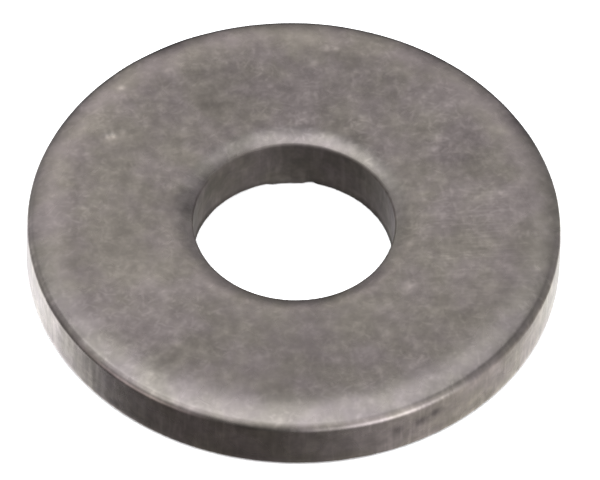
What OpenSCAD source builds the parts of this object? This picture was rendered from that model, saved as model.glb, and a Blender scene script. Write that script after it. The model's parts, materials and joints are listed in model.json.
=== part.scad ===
// Flat washer, punched from sheet steel and tumbled: one solid ring with a round bore.
// The punch enters from above, so the upper face rolls over at the rim and at the bore,
// and the lower face stays flat right up to its two lightly broken edges.
// Origin: centre of the bore, on the lower face. +Z is the axis of the ring.

/* [Washer] */
// Outside diameter
outer_d = 17; // [15:0.5:24]
// Bore diameter, a clearance hole for an M6 screw
bore_d = 6.4; // [4.3:0.1:8]
// Thickness between the two flat faces
thickness = 2; // [1.5:0.1:3]

/* [Rolled edges of the upper face] */
// Width of the rolled band at the rim
rim_roll_w = 1.5; // [0.8:0.1:2]
// How far the rolled band would drop if it ran on to the rim
rim_roll_drop = 0.22; // [0.1:0.01:0.3]
// Radius of the tumbled corner between the rolled band and the rim
rim_corner_r = 0.3; // [0.1:0.01:0.4]
// Width of the rolled band around the bore
bore_roll_w = 0.75; // [0.5:0.05:1]
// How far the rolled band would drop if it ran on to the bore
bore_roll_drop = 0.2; // [0.1:0.01:0.25]
// Radius of the tumbled corner between the rolled band and the bore
bore_corner_r = 0.15; // [0.05:0.01:0.2]

/* [Broken edges of the lower face] */
// Radius of the broken edge at the rim
rim_break_r = 0.12; // [0.03:0.01:0.15]
// Radius of the broken edge at the bore
bore_break_r = 0.06; // [0.03:0.01:0.15]

/* [Hidden] */
outer_r = outer_d / 2;
bore_r = bore_d / 2;
// How far a cut runs past the metal that it trims
past = 1;
// How far a tumbled corner stands proud of its roll, so that the two arcs truly cross
lift = 0.0002;
$fn = 240;

// Radius of an arc that leaves the upper face level and drops by drop over width.
function roll_r(width, drop) = (width * width + drop * drop) / (2 * drop);

// The rolled band, as cut from a wall that stands on x = 0 with its metal towards +X.
module roll_cut(width, drop) {
    arc_r = roll_r(width, drop);
    difference() {
        translate([-past, thickness - 2 * drop])
            square([past + width, 2 * drop + past]);
        translate([width, thickness - arc_r])
            circle(arc_r);
    }
}

// The tumbled corner, whose arc runs into the roll at reach and into the wall at x = 0.
module corner_cut(width, drop, corner_r) {
    arc_r = roll_r(width, drop);
    between = arc_r - corner_r;
    rise = sqrt(between * between - pow(width - corner_r, 2));
    centre_z = thickness - arc_r + rise + lift;
    reach = corner_r - corner_r * (width - corner_r) / between;
    difference() {
        translate([-past, centre_z])
            square([past + reach, past]);
        translate([corner_r, centre_z])
            circle(corner_r);
    }
}

// The broken edge at the foot of the same wall.
module break_cut(radius) {
    difference() {
        translate([-past, -past])
            square([past + radius, past + radius]);
        translate([radius, radius])
            circle(radius);
    }
}

// Half of the ring cut through its axis: a plain rectangle with its four corners worked.
module ring_section() {
    difference() {
        translate([bore_r, 0])
            square([outer_r - bore_r, thickness]);
        translate([bore_r, 0]) {
            roll_cut(bore_roll_w, bore_roll_drop);
            corner_cut(bore_roll_w, bore_roll_drop, bore_corner_r);
            break_cut(bore_break_r);
        }
        translate([outer_r, 0]) mirror([1, 0]) {
            roll_cut(rim_roll_w, rim_roll_drop);
            corner_cut(rim_roll_w, rim_roll_drop, rim_corner_r);
            break_cut(rim_break_r);
        }
    }
}

module washer() {
    color("dimgray")
        rotate_extrude()
            ring_section();
}

washer();
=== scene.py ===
"""A flat washer: one ring of sheet steel, punched and tumbled, lying on a pale floor.

The ring is a single lathed mesh. Its section follows the CAD solid, and small moves of its
points make what the press and the tumbling barrel leave: a faint ripple, dents, uneven
corners, drag lines down the punched walls, a torn strip at their foot and a burr in the bore.
"""
import json
import math
import random

import bpy
import numpy as np
from mathutils import Matrix, Vector, noise


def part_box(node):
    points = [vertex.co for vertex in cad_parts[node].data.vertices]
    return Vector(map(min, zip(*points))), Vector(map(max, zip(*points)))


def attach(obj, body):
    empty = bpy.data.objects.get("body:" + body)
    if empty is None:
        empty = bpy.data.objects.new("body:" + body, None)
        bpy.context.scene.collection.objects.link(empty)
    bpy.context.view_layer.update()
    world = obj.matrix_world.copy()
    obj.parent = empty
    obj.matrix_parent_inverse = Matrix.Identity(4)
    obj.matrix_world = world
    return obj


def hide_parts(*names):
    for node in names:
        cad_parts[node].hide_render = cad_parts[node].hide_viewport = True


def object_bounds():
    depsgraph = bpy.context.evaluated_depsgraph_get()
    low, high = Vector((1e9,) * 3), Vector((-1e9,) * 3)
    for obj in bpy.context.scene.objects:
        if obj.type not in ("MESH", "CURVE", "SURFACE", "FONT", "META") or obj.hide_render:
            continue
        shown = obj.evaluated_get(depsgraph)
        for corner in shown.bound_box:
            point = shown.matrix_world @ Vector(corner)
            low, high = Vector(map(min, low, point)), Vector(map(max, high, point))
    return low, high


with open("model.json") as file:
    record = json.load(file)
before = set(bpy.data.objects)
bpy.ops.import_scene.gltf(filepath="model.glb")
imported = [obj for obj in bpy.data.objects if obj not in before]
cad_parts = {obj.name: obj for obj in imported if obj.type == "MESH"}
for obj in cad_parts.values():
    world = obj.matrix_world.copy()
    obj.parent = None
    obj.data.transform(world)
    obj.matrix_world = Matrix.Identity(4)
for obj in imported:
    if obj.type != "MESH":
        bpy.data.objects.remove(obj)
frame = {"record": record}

CAD_LOW, CAD_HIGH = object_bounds()
MM = 0.001
SEED = 11

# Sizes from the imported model, in millimetres.
BOX_LOW, BOX_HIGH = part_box("washer")
OUTER_R = (BOX_HIGH.x - BOX_LOW.x) / 2 / MM
THICKNESS = (BOX_HIGH.z - BOX_LOW.z) / MM
BORE_R = next(m for m in frame["record"]["mounts"] if m["name"] == "bore")["dims"]["r_mm"]

# The worked edges, in millimetres, as in the CAD solid.
RIM_ROLL_W, RIM_ROLL_DROP, RIM_CORNER_R = 1.5, 0.22, 0.3
BORE_ROLL_W, BORE_ROLL_DROP, BORE_CORNER_R = 0.75, 0.2, 0.15
RIM_BREAK_R, BORE_BREAK_R = 0.12, 0.06

# The mesh: its columns round the axis, and how many points each stretch of its section has.
COLUMNS = 720
RIM_CORNER_POINTS, RIM_ROLL_POINTS, RIM_WALL_POINTS, RIM_BREAK_POINTS = 11, 20, 20, 4
BORE_CORNER_POINTS, BORE_ROLL_POINTS, BORE_WALL_POINTS, BORE_BREAK_POINTS = 8, 11, 16, 3
UPPER_FACE_POINTS, LOWER_FACE_POINTS = 34, 7

# Each kind of wear has its own noise, so that no two look alike.
RIPPLE, PEENING, CORNERS, BURNISHING, DRAGS, STRIP, TEAR, BURR = range(1, 9)

# What wear leaves, in millimetres: how deep, and how wide or far apart.
RIPPLE_DEPTH, RIPPLE_SIZE = 0.008, 3.5
PEEN_DEPTH, PEEN_SIZE = 0.0022, 0.32
CORNER_WEAR, CORNER_WEAR_SIZE = 0.02, 1.4
# How far below the upper face the wear on the rim's corner is deepest, and how wide it is.
CORNER_DOWN, CORNER_SPREAD = 0.3, 0.25
# The lines that the press drags down a wall, each this many times as long as it is wide.
DRAG_DEPTH, DRAG_SIZE, DRAG_STRETCH = 0.006, 0.22, 14
# The torn strip at a wall's foot, with the size of its uneven top and how softly that ends.
TORN_HEIGHT, TORN_DEPTH, TORN_GRAIN = 0.4, 0.010, 0.16
TORN_TOP_SIZE, TORN_FADE = 0.9, 0.3

# The burnished bands around the rim and, more weakly, around the bore: the radius of each
# one's middle and how far it spreads. Then how long their lighter and darker stretches are.
BURNISH_R, BURNISH_SPREAD = 7.85, 0.45
BORE_BURNISH, BORE_BURNISH_R, BORE_BURNISH_SPREAD = 0.35, 3.35, 0.2
BURNISH_SIZE = 1.1

# Dents on the upper face, listed: x, y, radius and depth in millimetres.
DENTS = [
    (-5.64, 5.25, 0.12, 0.018), (-6.03, 3.14, 0.10, 0.024), (-5.87, 3.19, 0.10, 0.028),
    (-5.56, 3.36, 0.10, 0.010), (-6.70, 2.40, 0.11, 0.008), (-6.76, 0.15, 0.11, 0.008),
    (0.85, 7.15, 0.13, 0.012), (1.15, 7.18, 0.10, 0.010), (0.48, 6.55, 0.12, 0.008),
    (1.79, 6.21, 0.10, 0.007), (2.07, 4.25, 0.11, 0.009), (4.47, 3.53, 0.12, 0.008),
    (4.92, 3.32, 0.12, 0.008), (5.69, 4.04, 0.11, 0.008), (4.38, 3.03, 0.10, 0.007),
    (5.50, 1.90, 0.11, 0.007), (6.55, 1.32, 0.10, 0.007),
]
# Smaller dents scattered over the face: how many, the inner and outer radius of the ring that
# they lie in, and their smallest and largest radius and depth.
SMALL_DENTS = 90
DENTED_RING = (BORE_R + 0.4, OUTER_R - 0.5)
SMALL_DENT_R, SMALL_DENT_DEPTH = (0.08, 0.15), (0.002, 0.006)
# How much lighter a dent is painted than the steel around it, for each millimetre of its depth: a
# painted glint, as if the dent caught the light.
DENT_PAINTED_GLINT = 40

# Where the face is smoother and where faint lines left by rolling show: x, y, how far each
# spreads along X, and how many times as far along Y.
SMOOTH_PLACE = (0, -5.6, 2.6, 1)
ROLLING_PLACE = (5.9, -0.6, 1.8, 1.6)

# Lighter and darker patches on the upper face, partly the steel's own uneven tone and partly
# painted light and shade: x, y, radius and change in tone.
TONE_AND_PAINTED_SHADING_PATCHES = [
    (-4.7, -2.4, 1.5, 0.20), (-6.2, 1.2, 1.3, 0.06), (-5.6, 3.2, 1.1, 0.11),
    (-2.2, 5.6, 1.6, -0.12), (1.2, 6.0, 1.3, -0.08), (-4.2, 4.9, 1.0, -0.06),
    (0.6, -6.0, 1.7, -0.15), (-2.6, -5.2, 1.2, -0.06), (3.4, -5.4, 1.3, -0.06),
    (4.8, -1.6, 1.6, 0.07), (5.0, 1.4, 1.6, 0.08), (3.6, -3.4, 1.2, 0.03),
    (0.1, 4.7, 1.2, -0.11), (4.4, 4.4, 1.2, 0.03), (5.3, 3.1, 1.1, -0.26),
    (3.0, 5.2, 1.0, -0.09), (-6.0, 0.0, 1.2, 0.07), (2.3, -4.0, 1.0, 0.08),
    (-0.5, -3.6, 0.8, 0.14), (-2.0, -3.0, 0.8, 0.14), (1.8, -3.1, 0.6, 0.08),
    (-3.6, 2.1, 0.7, 0.12), (4.5, 0.0, 0.9, -0.09), (-3.3, 0.5, 0.5, -0.30),
    (0.0, 3.6, 0.6, -0.15), (-1.9, 3.2, 0.6, -0.06), (2.0, 3.2, 0.6, -0.18),
    (-6.75, -3.9, 0.6, -0.14), (4.0, 6.9, 0.7, -0.13), (4.6, 7.4, 0.8, -0.10),
    (-4.4, 7.7, 0.8, -0.75), (-7.7, 4.5, 0.8, -0.36), (7.7, 4.5, 0.8, -0.65),
    (0.0, 8.9, 0.8, -0.22), (-3.8, 6.6, 0.7, 0.10), (0.0, 7.4, 0.7, 0.12),
    (6.5, 3.8, 0.7, 0.18), (-2.6, -2.1, 0.6, 0.12), (-1.2, -3.2, 0.6, 0.08),
]

# Dark stains on the rim's wall, listed: degrees from +X, height, half width and half
# height in millimetres, and strength.
STAINS = [
    (-69.0, 0.65, 0.80, 0.50, 0.16), (-65.6, 0.98, 0.24, 0.18, 0.40),
    (-60.4, 1.02, 0.30, 0.20, 0.48), (-56.9, 1.12, 0.20, 0.20, 0.48),
    (-63.0, 0.70, 0.20, 0.20, 0.15), (-43.0, 0.60, 0.12, 0.30, 0.18),
    (-40.2, 0.45, 0.14, 0.28, 0.21), (-37.2, 0.60, 0.10, 0.28, 0.18),
    (-25.0, 0.45, 0.16, 0.30, 0.18), (-21.5, 0.50, 0.12, 0.30, 0.18),
    (-149.2, 0.80, 0.14, 0.30, 0.18), (-152.7, 0.40, 0.14, 0.25, 0.18),
    (-136.5, 0.80, 0.10, 0.35, 0.21), (-135.5, 0.35, 0.14, 0.20, 0.21),
    (-158.8, 0.70, 0.12, 0.30, 0.15), (-130.4, 0.35, 0.20, 0.22, 0.21),
]
# A corner starts to take on the wall's looks where its normal reaches this far outwards.
WALL_FROM = 0.45

# The burr round the foot of the bore, in millimetres: how far it reaches into the bore all
# round, how high it starts, and how much and over what length that varies.
BURR_REACH, BURR_HEIGHT, BURR_VARIES, BURR_SIZE = 0.042, 0.28, 0.4, 0.4
# Its tongue, between two bearings in degrees from +Y towards +X, with how many degrees it
# takes to rise and to fall and how much further it reaches. Then the nick beside it.
TONGUE_FROM, TONGUE_TO, TONGUE_RISE, TONGUE_FALL, TONGUE_REACH = -18, 7, 6, 4, 0.065
NICK_AT, NICK_SPREAD, NICK_DEPTH = 9.3, 2.6, 0.055


# ---------------------------------------------------------------- the section

def rolled_corner(width, drop, corner_r, corner_steps, roll_steps):
    """Points from the top of the wall to the start of the flat face, as (reach, height).

    Reach is the distance from the wall into the metal. The tumbled corner's arc comes
    first and runs into the roll's longer arc, which ends level with the flat face.
    """
    arc_r = (width ** 2 + drop ** 2) / (2 * drop)
    between = arc_r - corner_r
    rise = math.sqrt(between ** 2 - (width - corner_r) ** 2)
    corner_z = THICKNESS - arc_r + rise
    tilt = math.asin((width - corner_r) / between)
    points = []
    for i in range(corner_steps):
        a = (math.pi / 2 - tilt) * i / corner_steps
        points.append((corner_r * (1 - math.cos(a)), corner_z + corner_r * math.sin(a)))
    for i in range(roll_steps):
        a = tilt * (1 - i / roll_steps)
        points.append((width - arc_r * math.sin(a), THICKNESS - arc_r * (1 - math.cos(a))))
    return points


def broken_edge(radius, steps):
    """Points from the flat lower face to the foot of the wall, as (reach, height)."""
    turns = [math.pi / 2 * i / steps for i in range(steps)]
    return [(radius * (1 - math.sin(a)), radius * (1 - math.cos(a))) for a in turns]


def straight(start, end, steps):
    """Evenly spaced points from start up to, but not including, end."""
    return [tuple(a + (b - a) * i / steps for a, b in zip(start, end)) for i in range(steps)]


def section():
    """The ring's closed section as (radius, height) points, and the zone of each point."""
    rim_top = rolled_corner(
        RIM_ROLL_W, RIM_ROLL_DROP, RIM_CORNER_R, RIM_CORNER_POINTS, RIM_ROLL_POINTS)
    bore_top = rolled_corner(
        BORE_ROLL_W, BORE_ROLL_DROP, BORE_CORNER_R, BORE_CORNER_POINTS, BORE_ROLL_POINTS)
    rim_foot = broken_edge(RIM_BREAK_R, RIM_BREAK_POINTS)
    bore_foot = broken_edge(BORE_BREAK_R, BORE_BREAK_POINTS)
    low_in, low_out = (BORE_R + BORE_BREAK_R, 0), (OUTER_R - RIM_BREAK_R, 0)
    rim_low, rim_high = (OUTER_R, RIM_BREAK_R), (OUTER_R, rim_top[0][1])
    flat_out, flat_in = (OUTER_R - RIM_ROLL_W, THICKNESS), (BORE_R + BORE_ROLL_W, THICKNESS)
    bore_high, bore_low = (BORE_R, bore_top[0][1]), (BORE_R, BORE_BREAK_R)
    runs = [
        ("lower", straight(low_in, low_out, LOWER_FACE_POINTS)),
        ("rim", [(OUTER_R - reach, z) for reach, z in rim_foot]),
        ("rim", straight(rim_low, rim_high, RIM_WALL_POINTS)),
        ("upper", [(OUTER_R - reach, z) for reach, z in rim_top]),
        ("upper", straight(flat_out, flat_in, UPPER_FACE_POINTS)),
        ("upper", [flat_in]),
        ("upper", [(BORE_R + reach, z) for reach, z in reversed(bore_top)]),
        ("bore", straight(bore_high, bore_low, BORE_WALL_POINTS)[1:]),
        ("bore", [bore_low]),
        ("bore", [(BORE_R + reach, z) for reach, z in reversed(bore_foot[1:])]),
    ]
    points = [p for _, run in runs for p in run]
    zones = [zone for zone, run in runs for _ in run]
    return np.array(points), np.array(zones)


def outward(points):
    """The unit normal of the section at each of its points, pointing out of the metal."""
    along = np.roll(points, -1, axis=0) - np.roll(points, 1, axis=0)
    normal = np.stack([along[:, 1], -along[:, 0]], axis=1)
    return normal / np.linalg.norm(normal, axis=1, keepdims=True)


# ------------------------------------------------------------- wear on the shape

def field(points, size, seed, octaves=1):
    """Smooth noise from about 0 to 1 at each point, its features about as wide as size."""
    offset = Vector((seed * 7.31, seed * 3.17, seed * 5.73))
    flat = (points / size).reshape(-1, 3)
    values = [noise.fractal(Vector(p) + offset, 1.0, 2.0, octaves) for p in flat.tolist()]
    return np.clip(0.5 + 0.5 * np.array(values).reshape(points.shape[:-1]), 0, 1)


def ease(x, start, end):
    """A smooth step from 0 at start to 1 at end."""
    t = np.clip((x - start) / (end - start), 0, 1)
    return t * t * (3 - 2 * t)


def dent_depth(points):
    """How deep the dents in the upper face are at each point."""
    draw = random.Random(SEED)
    dents = list(DENTS)
    for _ in range(SMALL_DENTS):
        reach, turn = draw.uniform(*DENTED_RING), draw.uniform(0, 2 * math.pi)
        radius, depth = draw.uniform(*SMALL_DENT_R), draw.uniform(*SMALL_DENT_DEPTH)
        dents.append((reach * math.cos(turn), reach * math.sin(turn), radius, depth))
    sunk = np.zeros(points.shape[:-1])
    for x, y, radius, depth in dents:
        away = (points[..., 0] - x) ** 2 + (points[..., 1] - y) ** 2
        sunk = np.maximum(sunk, depth * np.exp(-away / radius ** 2))
    return sunk


def drag_depth(points):
    """How deep the press's drag lines are, on walls that run up Z."""
    squeezed = points * (1, 1, 1 / DRAG_STRETCH)
    return DRAG_DEPTH * field(squeezed, DRAG_SIZE, DRAGS, octaves=2)


def torn_depth(points):
    """How far the torn strip at a wall's foot is sunk, with its grain."""
    top = TORN_HEIGHT * (0.6 + 0.8 * field(points * (1, 1, 0), TORN_TOP_SIZE, STRIP, octaves=2))
    strip = ease(top - points[..., 2], 0, TORN_FADE)
    return strip * TORN_DEPTH * (0.35 + 0.65 * field(points, TORN_GRAIN, TEAR, octaves=2))


def burr_reach(points):
    """How far the burr stands into the bore at each point, with its tongue and its nick."""
    bearing = np.degrees(np.arctan2(points[..., 0], points[..., 1]))
    foot = (1 - ease(points[..., 2], 0, BURR_HEIGHT)) ** 2
    tongue = ease(bearing, TONGUE_FROM, TONGUE_FROM + TONGUE_RISE)
    tongue *= 1 - ease(bearing, TONGUE_TO - TONGUE_FALL, TONGUE_TO)
    uneven = BURR_VARIES * (field(points * (1, 1, 0), BURR_SIZE, BURR, octaves=2) - 0.5)
    nick = NICK_DEPTH * np.exp(-((bearing - NICK_AT) / NICK_SPREAD) ** 2)
    return foot * ((BURR_REACH + TONGUE_REACH * tongue) * (1 + uneven) - nick)


def corner_depth(points):
    """How far tumbling has worn down the rim's corner at each point."""
    inwards = OUTER_R - np.hypot(points[..., 0], points[..., 1])
    below = THICKNESS - CORNER_DOWN - points[..., 2]
    corner = np.exp(-(inwards ** 2 + below ** 2) / CORNER_SPREAD ** 2)
    return corner * CORNER_WEAR * field(points, CORNER_WEAR_SIZE, CORNERS, octaves=2)


def sunk_depth(points, zones):
    """How far wear has sunk each point below the CAD surface, along its normal."""
    depth = RIPPLE_DEPTH * field(points, RIPPLE_SIZE, RIPPLE)
    depth += PEEN_DEPTH * field(points, PEEN_SIZE, PEENING, octaves=2)
    upper, rim, bore = (zones == name for name in ("upper", "rim", "bore"))
    depth[:, upper] += dent_depth(points[:, upper])
    depth[:, rim] += drag_depth(points[:, rim]) + torn_depth(points[:, rim])
    depth[:, bore] += drag_depth(points[:, bore]) + torn_depth(points[:, bore])
    return depth + corner_depth(points)


# ------------------------------------------------------- wear, painted light and shade in the steel's tone

def near_place(points, x, y, spread, stretch):
    """1 at a place on the plan, falling to 0 around it, and more slowly along Y."""
    away = np.hypot(points[..., 0] - x, (points[..., 1] - y) / stretch)
    return np.exp(-(away / spread) ** 2)


def burnish(points, zones):
    """How far tumbling has brightened the upper face, from 0 to a little over 1."""
    reach = np.hypot(points[..., 0], points[..., 1])
    band = np.exp(-((reach - BURNISH_R) / BURNISH_SPREAD) ** 2)
    band += BORE_BURNISH * np.exp(-((reach - BORE_BURNISH_R) / BORE_BURNISH_SPREAD) ** 2)
    uneven = 0.7 + 0.6 * field(points, BURNISH_SIZE, BURNISHING, octaves=3)
    return band * (zones == "upper") * uneven


def patch_tone_and_shading(points, zones):
    """How much lighter or darker than the rest each point of the upper face is, from its own tone
    and from painted light and shade.
    """
    tone = np.zeros(points.shape[:-1])
    for x, y, radius, change in TONE_AND_PAINTED_SHADING_PATCHES:
        away = (points[..., 0] - x) ** 2 + (points[..., 1] - y) ** 2
        tone += change * np.exp(-away / radius ** 2)
    return tone * (zones == "upper")


def stain_tone(points, zones):
    """How dark the stains on the rim's wall are at each point, from 0 down."""
    bearing = np.arctan2(points[..., 1], points[..., 0])
    tone = np.zeros(points.shape[:-1])
    for degrees, height, wide, high, strength in STAINS:
        round_by = (bearing - math.radians(degrees)) * OUTER_R / wide
        up_by = (points[..., 2] - height) / high
        tone = np.minimum(tone, -strength * np.exp(-round_by ** 2 - up_by ** 2))
    return tone * (zones == "rim")


# ------------------------------------------------------------------- the mesh

def ring_mesh(points):
    """A closed mesh from rings of points, given as an array (columns, section, 3) in mm."""
    columns, rows, _ = points.shape
    mesh = bpy.data.meshes.new("tumbled_washer")
    faces = []
    for i in range(columns):
        near, far = i * rows, (i + 1) % columns * rows
        for j in range(rows):
            k = (j + 1) % rows
            faces.append((near + j, far + j, far + k, near + k))
    mesh.from_pydata((points.reshape(-1, 3) * MM).tolist(), [], faces)
    mesh.shade_smooth()
    mesh.update()
    return mesh


def add_attribute(mesh, name, values):
    """Stores one number per point of the mesh, for the material to read."""
    attribute = mesh.attributes.new(name, "FLOAT", "POINT")
    attribute.data.foreach_set("value", values.reshape(-1).astype(np.float32))


def spokes():
    """The direction from the axis to each column of the mesh, as (columns, 2)."""
    turn = np.linspace(0, 2 * math.pi, COLUMNS, endpoint=False)
    return np.stack([np.cos(turn), np.sin(turn)], axis=1)


def turned_round(flat):
    """A section's (outward, upward) pairs turned round the axis, as (columns, section, 3)."""
    turned = np.zeros((COLUMNS, len(flat), 3))
    turned[..., :2] = spokes()[:, None, :] * flat[None, :, :1]
    turned[..., 2] = flat[:, 1]
    return turned


def worn_points(points, normals, zones):
    """The lathed points sunk by the wear, with the burr standing into the bore."""
    worn = points - turned_round(normals) * sunk_depth(points, zones)[..., None]
    bore = zones == "bore"
    worn[:, bore, :2] -= spokes()[:, None, :] * burr_reach(points[:, bore])[..., None]
    return worn


def add_attributes(mesh, points, normals, zones):
    """Stores what the material reads at each point of the mesh."""
    for name, facing in (("on_rim", normals[:, 0]), ("on_bore", -normals[:, 0])):
        share = ease(facing, WALL_FROM, 1)
        add_attribute(mesh, name, np.broadcast_to(share, points.shape[:2]))
    add_attribute(mesh, "smooth", near_place(points, *SMOOTH_PLACE))
    add_attribute(mesh, "rolled", near_place(points, *ROLLING_PLACE))
    add_attribute(mesh, "burnish", burnish(points, zones))
    # Painted glints in the dents, lighter the deeper they are.
    add_attribute(mesh, "shine", DENT_PAINTED_GLINT * dent_depth(points) * (zones == "upper"))
    # The patches, partly the steel's own tone and partly painted light and shade, with the stains
    # on the rim's wall.
    add_attribute(mesh, "tone", patch_tone_and_shading(points, zones) + stain_tone(points, zones))


def make_washer():
    profile, zones = section()
    normals = outward(profile)
    points = turned_round(profile)
    mesh = ring_mesh(worn_points(points, normals, zones))
    add_attributes(mesh, points, normals, zones)
    washer = bpy.data.objects.new("tumbled_washer", mesh)
    bpy.context.scene.collection.objects.link(washer)
    return washer


# --------------------------------------------------------------- the material

class Nodes:
    """Short calls that add shader nodes and join them up."""

    def __init__(self, tree):
        self.tree = tree

    def add(self, kind, **settings):
        node = self.tree.nodes.new("ShaderNode" + kind)
        for name, value in settings.items():
            setattr(node, name, value)
        return node

    def put(self, socket, value):
        """Sets a socket to a number, a tuple or another node's output."""
        if isinstance(value, bpy.types.NodeSocket):
            self.tree.links.new(value, socket)
        else:
            socket.default_value = value

    def math(self, operation, *values):
        node = self.add("Math", operation=operation)
        for socket, value in zip(node.inputs, values):
            self.put(socket, value)
        return node.outputs[0]

    def minus(self, value, middle):
        return self.math("SUBTRACT", value, middle)

    def times(self, a, b):
        return self.math("MULTIPLY", a, b)

    def plus(self, total, by, value):
        """Total plus by times value."""
        return self.math("MULTIPLY_ADD", value, by, total)

    def vector(self, operation, *values):
        node = self.add("VectorMath", operation=operation)
        for socket, value in zip(node.inputs, values):
            self.put(socket, value)
        return node.outputs[0]

    def scale(self, vector, by):
        node = self.add("VectorMath", operation="SCALE")
        self.put(node.inputs[0], vector)
        self.put(node.inputs["Scale"], by)
        return node.outputs[0]

    def noise(self, at, scale, detail=2.0, roughness=0.5, distortion=0.0):
        """Noise from 0 to 1 at a place in millimetres, with scale features per millimetre."""
        node = self.add("TexNoise")
        self.put(node.inputs["Vector"], at)
        self.put(node.inputs["Scale"], scale)
        self.put(node.inputs["Detail"], detail)
        self.put(node.inputs["Roughness"], roughness)
        self.put(node.inputs["Distortion"], distortion)
        return node.outputs["Fac"]

    def turned(self, at, degrees, squeeze, offset):
        """The place turned about Z, then squeezed along its new axes and moved."""
        turn = self.add("VectorRotate", rotation_type="Z_AXIS")
        self.put(turn.inputs["Vector"], at)
        self.put(turn.inputs["Angle"], math.radians(degrees))
        return self.vector("MULTIPLY_ADD", turn.outputs[0], squeeze, (offset, offset, offset))

    def span(self, value, low, high, to_low=0.0, to_high=1.0):
        """Value taken from low..high to to_low..to_high, held at the ends, with a soft step."""
        node = self.add("MapRange", interpolation_type="SMOOTHSTEP")
        for socket, number in zip(node.inputs, (value, low, high, to_low, to_high)):
            self.put(socket, number)
        return node.outputs["Result"]

    def mix(self, share, a, b):
        node = self.add("MixRGB")
        self.put(node.inputs["Fac"], share)
        self.put(node.inputs["Color1"], a)
        self.put(node.inputs["Color2"], b)
        return node.outputs["Color"]

    def attribute(self, name):
        return self.add("Attribute", attribute_name=name).outputs["Fac"]


# The scratches' directions in degrees, each with how far its noise is moved so that no two
# match, how many there are to a millimetre along them, across them and down into the steel,
# and where in the noise a scratch starts and is full.
SCRATCH_TURNS = ((17, 3.1), (81, 7.7), (140, 12.9))
SCRATCHES_PER_MM = (3.8, 6.4, 1.0)
SCRATCH_STARTS, SCRATCH_FULL = 0.56, 0.9
# The direction, move and number to a millimetre of the lines left by rolling.
ROLLING_TURN, ROLLING_MOVED, ROLLING_PER_MM = -7, 21.7, (0.9, 11.0, 1.0)
# How fast the streaks change up a wall, as a share of how fast they change round it.
STREAK_SQUEEZE = 0.12

# How strongly each pattern lightens and darkens the steel, around its mean tone.
MEAN_TONE = 0.96
CLOUDS, MOTTLING, GRAIN, SCRATCHES, ROLLING_LINES, STREAKS = 0.30, 0.86, 0.08, 0.28, 0.15, 0.24
# The mean of the mottling's square, and how much of the streaks shows in the bore.
MOTTLE_MEAN, BORE_STREAKS = 0.26, 0.35
# How much of that the burnished bands and the smoother side lose.
BURNISH_EVENS, SMOOTH_EVENS = 0.4, 0.38

# How much lighter than the flat face the burnished bands, the torn strip and the walls are: the
# strip's lightness is a painted reflection of the floor, and the bore's, below 0, is painted
# shade. Then how high that painted reflection reaches and how much less of it shows in the bore.
BURNISH_LIGHTER, FOOT_PAINTED_REFLECTION, RIM_LIGHTER, BORE_PAINTED_SHADE = 0.36, 0.60, 0.80, -0.08
PAINTED_REFLECTION_TOP, BORE_REFLECTION_LESS = 0.32, 0.6

# The steel's two tints, and how much a darker patch, its painted shade included, leans towards the
# second.
WARM, ROSY, ROSY_WHERE_DARK = (0.328, 0.293, 0.255, 1), (0.334, 0.289, 0.277, 1), 1.6
# Its roughness, how far the clouds change it and how much rougher the bore is.
ROUGH, CLOUDS_ROUGH, BORE_ROUGH = 0.27, 0.15, 0.38
# The height in metres of its fine relief, which the walls' streaks have in full, and the
# mottling's and the scratches' share of it.
RELIEF_HEIGHT, MOTTLE_RELIEF, SCRATCH_RELIEF = 1.5e-6, 0.6, 0.4


def scratches(nodes, at):
    """Short marks in each of the scratches' directions, from 0 to 1."""
    marks = None
    for degrees, moved in SCRATCH_TURNS:
        along = nodes.turned(at, degrees, SCRATCHES_PER_MM, moved)
        mark = nodes.span(nodes.noise(along, 1.0, 0.0), SCRATCH_STARTS, SCRATCH_FULL)
        marks = mark if marks is None else nodes.math("MAXIMUM", marks, mark)
    return marks


def patterns(nodes, at):
    """The steel's patterns at a place in millimetres, each from 0 to 1, by name.

    A noise's numbers are its features per millimetre, detail, roughness and distortion.
    """
    rolled = nodes.turned(at, ROLLING_TURN, ROLLING_PER_MM, ROLLING_MOVED)
    upright = nodes.vector("MULTIPLY", at, (1, 1, STREAK_SQUEEZE))
    return {
        "cloud": nodes.noise(at, 0.75, 1.0, 0.6, 0.3),
        "mottle": nodes.noise(at, 2.1, 2.0, 0.6, 0.15),
        "grain": nodes.noise(at, 7.0, 1.0, 0.5),
        "scratch": scratches(nodes, at),
        "patchy": nodes.span(nodes.noise(at, 0.8, 1.0, 0.5), 0.3, 0.7, 0.35, 1.0),
        "rolled": nodes.span(nodes.noise(rolled, 1.0, 1.0), 0.45, 0.75),
        "streak": nodes.noise(upright, 4.5, 2.0, 0.6, 0.2),
    }


def pattern_tone(nodes, pattern, burnished, walls):
    """The steel's tone at each point, from its patterns, its patches with their painted light and
    shade, the painted glints in its dents, and its stains.
    """
    uneven = nodes.times(nodes.minus(pattern["cloud"], 0.5), CLOUDS)
    squared = nodes.times(pattern["mottle"], pattern["mottle"])
    uneven = nodes.plus(uneven, MOTTLING, nodes.minus(squared, MOTTLE_MEAN))
    uneven = nodes.plus(uneven, GRAIN, nodes.minus(pattern["grain"], 0.5))
    uneven = nodes.plus(uneven, SCRATCHES, nodes.times(pattern["scratch"], pattern["patchy"]))
    kept = nodes.plus(1.0, -BURNISH_EVENS, burnished)
    kept = nodes.plus(kept, -SMOOTH_EVENS, nodes.attribute("smooth"))
    tone = nodes.plus(MEAN_TONE, uneven, kept)
    lines = nodes.times(pattern["rolled"], nodes.attribute("rolled"))
    tone = nodes.plus(tone, ROLLING_LINES, lines)
    # The patches' tone, partly painted light and shade, and the stains.
    tone = nodes.math("ADD", tone, nodes.attribute("tone"))
    # Painted glints in the dents.
    tone = nodes.math("ADD", tone, nodes.attribute("shine"))
    return nodes.plus(tone, STREAKS, nodes.times(walls, nodes.minus(pattern["streak"], 0.5)))


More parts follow.
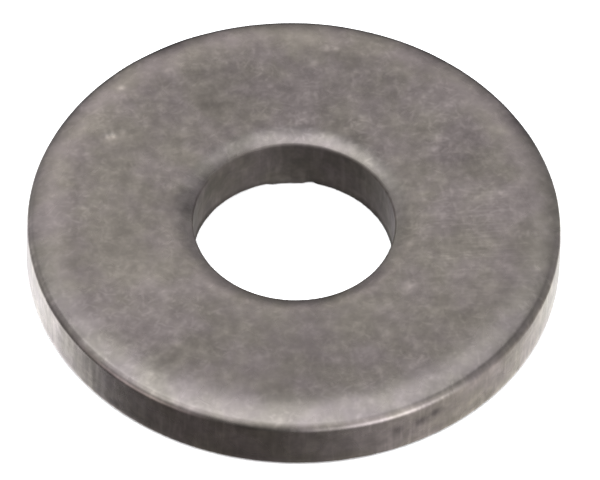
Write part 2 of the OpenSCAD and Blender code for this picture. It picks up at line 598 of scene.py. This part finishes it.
def place_tone(nodes, at, burnished, rim, bore):
    """How many times as light as the flat face the bands and the walls are, with a painted
    reflection of the floor at the walls' feet and painted shade in the bore.
    """
    height = nodes.add("SeparateXYZ")
    nodes.put(height.inputs[0], at)
    # The painted reflection of the floor, strongest at the foot of a wall.
    low = nodes.span(height.outputs["Z"], 0.0, PAINTED_REFLECTION_TOP, 1.0, 0.0)
    tone = nodes.plus(1.0, BURNISH_LIGHTER, burnished)
    tone = nodes.plus(tone, FOOT_PAINTED_REFLECTION, nodes.times(low, nodes.plus(rim, -BORE_REFLECTION_LESS, bore)))
    tone = nodes.plus(tone, RIM_LIGHTER, rim)
    # Painted shade in the bore and over its corner, making them darker.
    return nodes.plus(tone, BORE_PAINTED_SHADE, bore)


def steel():
    """Tumbled steel: a dull warm grey, mottled and scratched, with streaks up its walls."""
    material = bpy.data.materials.new("worn_steel")
    material.use_nodes = True
    nodes = Nodes(material.node_tree)
    shader = material.node_tree.nodes["Principled BSDF"]
    shader.inputs["Metallic"].default_value = 1.0
    at = nodes.scale(nodes.add("TexCoord").outputs["Object"], 1 / MM)
    rim, bore = nodes.attribute("on_rim"), nodes.attribute("on_bore")
    walls = nodes.plus(rim, BORE_STREAKS, bore)
    burnished = nodes.attribute("burnish")
    pattern = patterns(nodes, at)

    tone = nodes.times(
        pattern_tone(nodes, pattern, burnished, walls),
        place_tone(nodes, at, burnished, rim, bore),
    )
    tint = nodes.span(nodes.noise(at, 0.7, 3.0, 0.5), 0.3, 0.7)
    tint = nodes.plus(tint, -ROSY_WHERE_DARK, nodes.attribute("tone"))
    nodes.put(shader.inputs["Base Color"], nodes.scale(nodes.mix(tint, WARM, ROSY), tone))

    rough = nodes.plus(ROUGH, CLOUDS_ROUGH, nodes.minus(pattern["cloud"], 0.5))
    nodes.put(shader.inputs["Roughness"], nodes.plus(rough, BORE_ROUGH, bore))
    relief = nodes.plus(nodes.times(walls, pattern["streak"]), MOTTLE_RELIEF, pattern["mottle"])
    relief = nodes.plus(relief, SCRATCH_RELIEF, pattern["scratch"])
    bump = nodes.add("Bump")
    nodes.put(bump.inputs["Distance"], RELIEF_HEIGHT)
    nodes.put(bump.inputs["Height"], relief)
    nodes.put(shader.inputs["Normal"], bump.outputs["Normal"])
    return material


# ------------------------------------------------------------------ the stage

# The floor: how far it reaches in outer radii, how far it lies below the washer in metres so
# that the two don't touch, and how much light it gives back.
FLOOR_REACH, FLOOR_GAP, FLOOR_WHITE = 60, 0.00002, 0.93


def make_floor():
    """A pale floor, which the steel doesn't mirror and which lets the low lights through."""
    mesh = bpy.data.meshes.new("floor")
    reach = FLOOR_REACH * OUTER_R * MM
    corners = [(-reach, -reach, 0), (reach, -reach, 0), (reach, reach, 0), (-reach, reach, 0)]
    mesh.from_pydata(corners, [], [(0, 1, 2, 3)])
    floor = bpy.data.objects.new("floor", mesh)
    floor.location.z = CAD_LOW.z - FLOOR_GAP
    floor.visible_glossy = False
    floor.visible_shadow = False
    bpy.context.scene.collection.objects.link(floor)
    material = bpy.data.materials.new("pale_floor")
    material.use_nodes = True
    shader = material.node_tree.nodes["Principled BSDF"]
    shader.inputs["Base Color"].default_value = (FLOOR_WHITE, FLOOR_WHITE, FLOOR_WHITE, 1)
    shader.inputs["Roughness"].default_value = 0.9
    shader.inputs["Specular IOR Level"].default_value = 0.0
    mesh.materials.append(material)


def direction(azimuth, elevation):
    """The unit vector towards a place in the room. Azimuth 0 is +Y and 90 is +X."""
    a, e = math.radians(azimuth), math.radians(elevation)
    return Vector((math.sin(a) * math.cos(e), math.cos(a) * math.cos(e), math.sin(e)))


# The camera: how far it stands off in outer radii, how high it is and how far it leans in
# degrees, how far beside the washer's middle it aims in outer radii, and how much of the
# frame's width one outer radius takes.
STAND_OFF, CAMERA_ELEVATION, CAMERA_LEAN = 57, 49.9, 1.78
AIM_RIGHT, AIM_UP = 0.0239, -0.0073
RADIUS_IN_FRAME = 0.4452
SENSOR = 36.0


def make_camera():
    data = bpy.data.cameras.new("camera")
    data.sensor_width = SENSOR
    data.lens = RADIUS_IN_FRAME * STAND_OFF * SENSOR
    camera = bpy.data.objects.new("camera", data)
    middle = (BOX_LOW + BOX_HIGH) / 2
    radius = OUTER_R * MM
    back = direction(180, CAMERA_ELEVATION)
    level = (-back).to_track_quat("-Z", "Y").to_matrix()
    facing = level @ Matrix.Rotation(math.radians(CAMERA_LEAN), 3, "Z")
    aim = middle + facing @ Vector((AIM_RIGHT, AIM_UP, 0)) * radius
    camera.matrix_world = Matrix.Translation(aim + back * STAND_OFF * radius) @ facing.to_4x4()
    data.clip_start, data.clip_end = 0.01, 10
    bpy.context.scene.collection.objects.link(camera)
    bpy.context.scene.camera = camera


# The studio's soft lights and pale walls, which the steel mirrors: azimuth and elevation in
# degrees, how far each spreads in degrees, its strength and its colour.
LIGHTS = [
    # Overhead, for the rolled bands on the near side.
    (-66, 64, 11, 1.08, (0.95, 1.0, 1.04)),
    (145, 88, 16, 1.25, (0.97, 1.0, 1.06)),
    (35, 63, 9, 0.45, (0.96, 1.0, 1.04)),
    (0, 80, 10, 0.30, (0.97, 1.0, 1.05)),
    # On the camera's side, for the near corner, and for the walls seen from low down.
    (143, -5, 15, 1.65, (0.98, 1.0, 1.05)),
    (135, -30, 13, 0.15, (1.00, 1.0, 1.02)),
    (140, 35, 19, 0.70, (0.99, 1.0, 1.00)),
    (150, 60, 14, 0.50, (0.98, 1.0, 1.04)),
    (-124, -8, 13, 0.60, (1.07, 1.0, 1.03)),
    (-130, 50, 18, 1.25, (0.98, 1.0, 1.04)),
    (-170, 25, 16, 0.16, (1.00, 1.0, 1.02)),
    # To the sides.
    (95, 18, 17, 0.10, (1.00, 1.0, 1.05)),
    (-95, 15, 17, 0.12, (1.00, 1.0, 1.05)),
    # Behind the washer, for the flat face and the rolled bands on the far side.
    (-5, 40, 12, 0.63, (1.02, 1.0, 1.01)),
    (-29, 45, 9, 0.08, (1.00, 1.0, 1.02)),
    (-50, 17, 24, 0.55, (0.98, 1.0, 1.04)),
    (45, 20, 28, 0.40, (0.98, 1.0, 1.05)),
    # Low down, as if off the table, for the walls.
    (-50, -50, 14, 1.05, (0.98, 1.0, 1.04)),
    (-140, -50, 16, 0.04, (1.08, 1.0, 1.00)),
    (-10, -57, 14, 0.90, (0.98, 1.0, 1.02)),
    (180, -50, 24, 0.04, (1.08, 1.0, 1.00)),
    (35, -54, 14, 0.93, (0.98, 1.0, 0.98)),
    (100, -40, 21, 0.44, (1.01, 1.0, 0.98)),
]
# The light that comes from everywhere else. Then the strength of the lamp that whitens the
# floor and how wide it is in degrees.
ROOM = (0.01, 0.01, 0.01)
FLOOR_LIGHT, FLOOR_LIGHT_WIDTH = 5.0, 100


def make_world():
    """Even light from the room, plus one soft lobe for each of the lights."""
    world = bpy.data.worlds.new("studio")
    world.use_nodes = True
    nodes = Nodes(world.node_tree)
    towards = nodes.add("TexCoord").outputs["Generated"]
    total = None
    for azimuth, elevation, spread, strength, colour in LIGHTS:
        aim = nodes.add("VectorMath", operation="DOT_PRODUCT")
        nodes.put(aim.inputs[0], towards)
        nodes.put(aim.inputs[1], direction(azimuth, elevation))
        fall = nodes.math("SUBTRACT", aim.outputs["Value"], 1.0)
        fall = nodes.math("MULTIPLY", fall, 1 / math.radians(spread) ** 2)
        lobe = nodes.scale(tuple(c * strength for c in colour), nodes.math("EXPONENT", fall))
        total = nodes.vector("ADD", ROOM if total is None else total, lobe)
    nodes.put(world.node_tree.nodes["Background"].inputs["Color"], total)
    bpy.context.scene.world = world


def make_floor_light():
    """A wide lamp straight above that whitens the floor, and that steel doesn't mirror."""
    data = bpy.data.lights.new("floor_light", "SUN")
    data.energy = FLOOR_LIGHT
    data.angle = math.radians(FLOOR_LIGHT_WIDTH)
    lamp = bpy.data.objects.new("floor_light", data)
    lamp.visible_glossy = False
    bpy.context.scene.collection.objects.link(lamp)


bpy.context.scene.view_settings.view_transform = "Standard"
make_camera()
make_world()
make_floor_light()
make_floor()
washer = make_washer()
washer.data.materials.append(steel())
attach(washer, "root")
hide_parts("washer")
